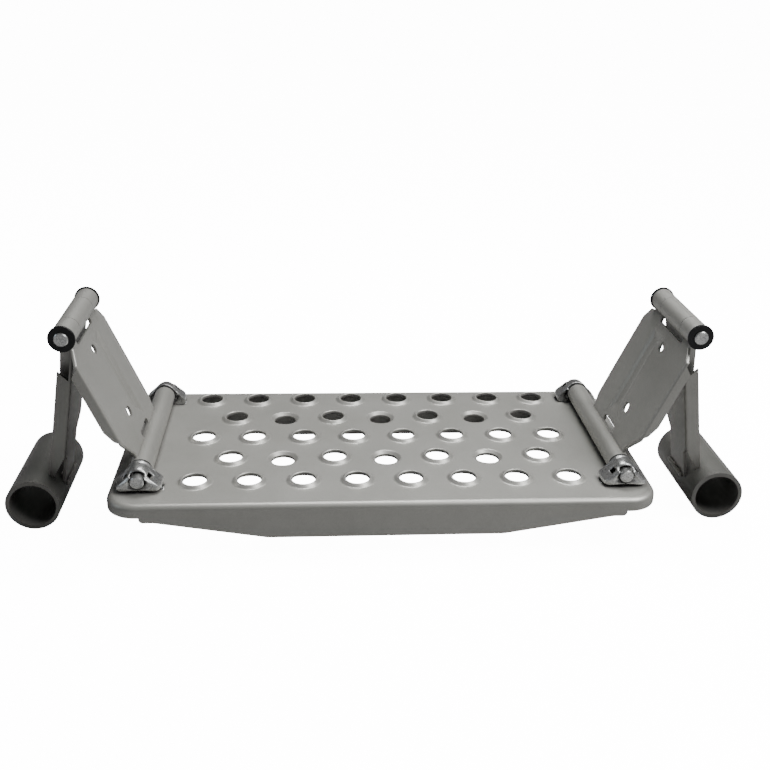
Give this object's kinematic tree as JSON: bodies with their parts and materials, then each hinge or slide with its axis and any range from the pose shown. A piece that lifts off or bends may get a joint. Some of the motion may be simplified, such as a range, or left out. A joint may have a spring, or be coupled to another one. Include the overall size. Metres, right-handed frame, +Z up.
{
  "type": "tailgate step",
  "caption": "Perforated pressed-metal step deck hung between folding arms, each ending in a round tube that slides onto a vehicle's mounting pin.",
  "frame": {"origin": "on the ground plane, under the middle of the step's bounding box", "axes": "+X along the step from the left arm to the right arm, +Y from the stepping edge towards the vehicle, +Z up"},
  "size_m": [0.7108, 0.249, 0.2085],
  "materials": {
    "satin_silver_paint": "satin silver-grey powder coat",
    "zinc_plate": "bright zinc plating",
    "black_nylon": "moulded nylon"
  },
  "bodies": {
    "deck": {"step_deck": "satin_silver_paint", "right_front_ear": "zinc_plate", "right_rear_ear": "zinc_plate", "left_front_ear": "zinc_plate", "left_rear_ear": "zinc_plate", "right_deck_pin": "zinc_plate", "left_deck_pin": "zinc_plate"},
    "right_link": {"right_link_plate": "satin_silver_paint", "right_deck_barrel": "satin_silver_paint", "right_front_knuckle": "satin_silver_paint", "right_back_knuckle": "satin_silver_paint", "right_deck_bushes": "black_nylon", "right_top_bushes": "black_nylon", "right_link_welds": "satin_silver_paint"},
    "right_bracket": {"right_bracket_channel": "satin_silver_paint", "right_middle_knuckle": "satin_silver_paint", "right_top_pin": "zinc_plate", "right_mounting_tube": "satin_silver_paint", "right_bracket_welds": "satin_silver_paint"},
    "left_link": {"left_link_plate": "satin_silver_paint", "left_deck_barrel": "satin_silver_paint", "left_front_knuckle": "satin_silver_paint", "left_back_knuckle": "satin_silver_paint", "left_deck_bushes": "black_nylon", "left_top_bushes": "black_nylon", "left_link_welds": "satin_silver_paint"},
    "left_bracket": {"left_bracket_channel": "satin_silver_paint", "left_middle_knuckle": "satin_silver_paint", "left_top_pin": "zinc_plate", "left_mounting_tube": "satin_silver_paint", "left_bracket_welds": "satin_silver_paint"}
  },
  "joints": [
    {"name": "right_deck_hinge", "type": "hinge", "parent": "deck", "child": "right_link", "pos_m": [0.227, 0.0055, 0.063], "axis": [0, -1, 0], "range_deg": [-55, 60]},
    {"name": "right_top_hinge", "type": "hinge", "parent": "right_link", "child": "right_bracket", "pos_m": [0.2833, -0.0315, 0.1965], "axis": [0, -1, 0], "range_deg": [-3, 140]},
    {"name": "left_deck_hinge", "type": "hinge", "parent": "deck", "child": "left_link", "pos_m": [-0.227, 0.0055, 0.063], "axis": [0, 1, 0], "range_deg": [-55, 60]},
    {"name": "left_top_hinge", "type": "hinge", "parent": "left_link", "child": "left_bracket", "pos_m": [-0.2833, -0.0315, 0.1965], "axis": [0, 1, 0], "range_deg": [-3, 140]}
  ]
}
